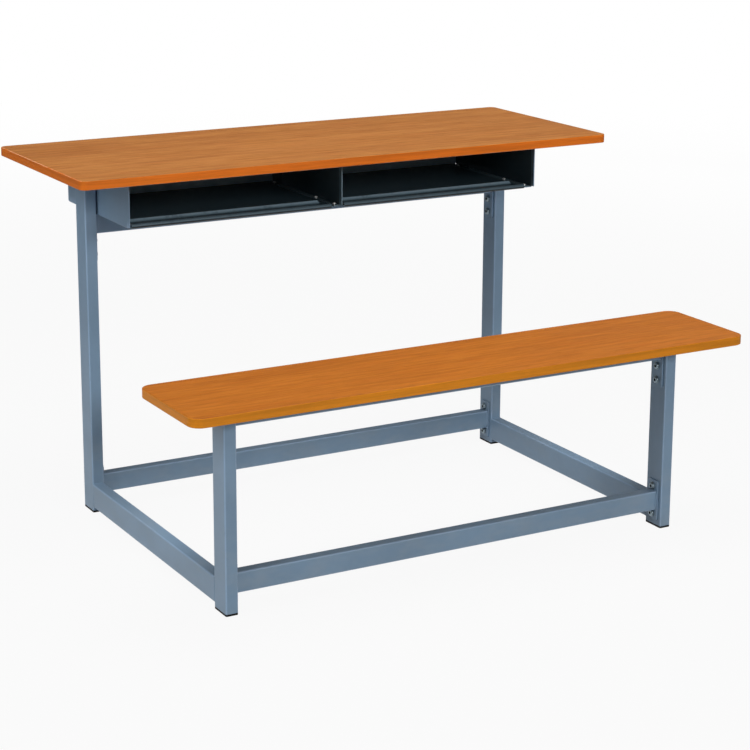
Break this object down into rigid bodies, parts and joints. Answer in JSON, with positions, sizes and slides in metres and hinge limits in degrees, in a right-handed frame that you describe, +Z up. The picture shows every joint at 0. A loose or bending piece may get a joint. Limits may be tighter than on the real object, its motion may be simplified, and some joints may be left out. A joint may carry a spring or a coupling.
{
  "type": "double school desk with bench",
  "caption": "School desk for two pupils with a joined bench: wood boards on a bolted flat-tube steel frame, with an open divided book box of bent sheet under the desk top",
  "frame": {"origin": "On the floor, at the middle of the whole footprint", "axes": "+X along the boards, +Y from the bench to the desk, +Z up"},
  "size_m": [1.2, 0.945, 0.745],
  "materials": {
    "wood_laminate": "satin wood-grain laminate",
    "edge_strip": "satin wood-look strip",
    "frame_coat": "semi-gloss blue-grey powder coat",
    "box_coat": "semi-gloss grey powder coat",
    "zinc_bolt": "zinc plated",
    "rivet": "plain",
    "foot_plastic": "black moulded"
  },
  "bodies": {
    "root": {"desk_top": "wood_laminate", "desk_top_edge_strip": "edge_strip", "bench_seat": "wood_laminate", "bench_seat_edge_strip": "edge_strip", "left_desk_leg": "frame_coat", "left_desk_top_plate": "frame_coat", "left_desk_foot": "foot_plastic", "left_bench_leg": "frame_coat", "left_bench_top_plate": "frame_coat", "left_bench_foot": "foot_plastic", "left_floor_rail": "frame_coat", "right_desk_leg": "frame_coat", "right_desk_top_plate": "frame_coat", "right_desk_foot": "foot_plastic", "right_bench_leg": "frame_coat", "right_bench_top_plate": "frame_coat", "right_bench_foot": "foot_plastic", "right_floor_rail": "frame_coat", "lower_desk_stretcher": "frame_coat", "lower_desk_left_end_plate": "frame_coat", "lower_desk_left_bolt_1": "zinc_bolt", "lower_desk_left_bolt_2": "zinc_bolt", "lower_desk_right_end_plate": "frame_coat", "lower_desk_right_bolt_1": "zinc_bolt", "lower_desk_right_bolt_2": "zinc_bolt", "lower_bench_stretcher": "frame_coat", "lower_bench_left_end_plate": "frame_coat", "lower_bench_left_bolt_1": "zinc_bolt", "lower_bench_left_bolt_2": "zinc_bolt", "lower_bench_right_end_plate": "frame_coat", "lower_bench_right_bolt_1": "zinc_bolt", "lower_bench_right_bolt_2": "zinc_bolt", "upper_desk_stretcher": "frame_coat", "upper_desk_left_end_plate": "frame_coat", "upper_desk_left_bolt_1": "zinc_bolt", "upper_desk_left_bolt_2": "zinc_bolt", "upper_desk_right_end_plate": "frame_coat", "upper_desk_right_bolt_1": "zinc_bolt", "upper_desk_right_bolt_2": "zinc_bolt", "upper_bench_stretcher": "frame_coat", "upper_bench_left_end_plate": "frame_coat", "upper_bench_left_bolt_1": "zinc_bolt", "upper_bench_left_bolt_2": "zinc_bolt", "upper_bench_right_end_plate": "frame_coat", "upper_bench_right_bolt_1": "zinc_bolt", "upper_bench_right_bolt_2": "zinc_bolt", "book_box_tray": "box_coat", "book_box_left_panel": "box_coat", "book_box_right_panel": "box_coat", "book_box_divider": "box_coat", "left_rivet_1": "rivet", "left_rivet_2": "rivet", "left_rivet_3": "rivet", "divider_rivet_1": "rivet", "divider_rivet_2": "rivet", "divider_rivet_3": "rivet", "right_rivet_1": "rivet", "right_rivet_2": "rivet", "right_rivet_3": "rivet"}
  },
  "joints": []
}
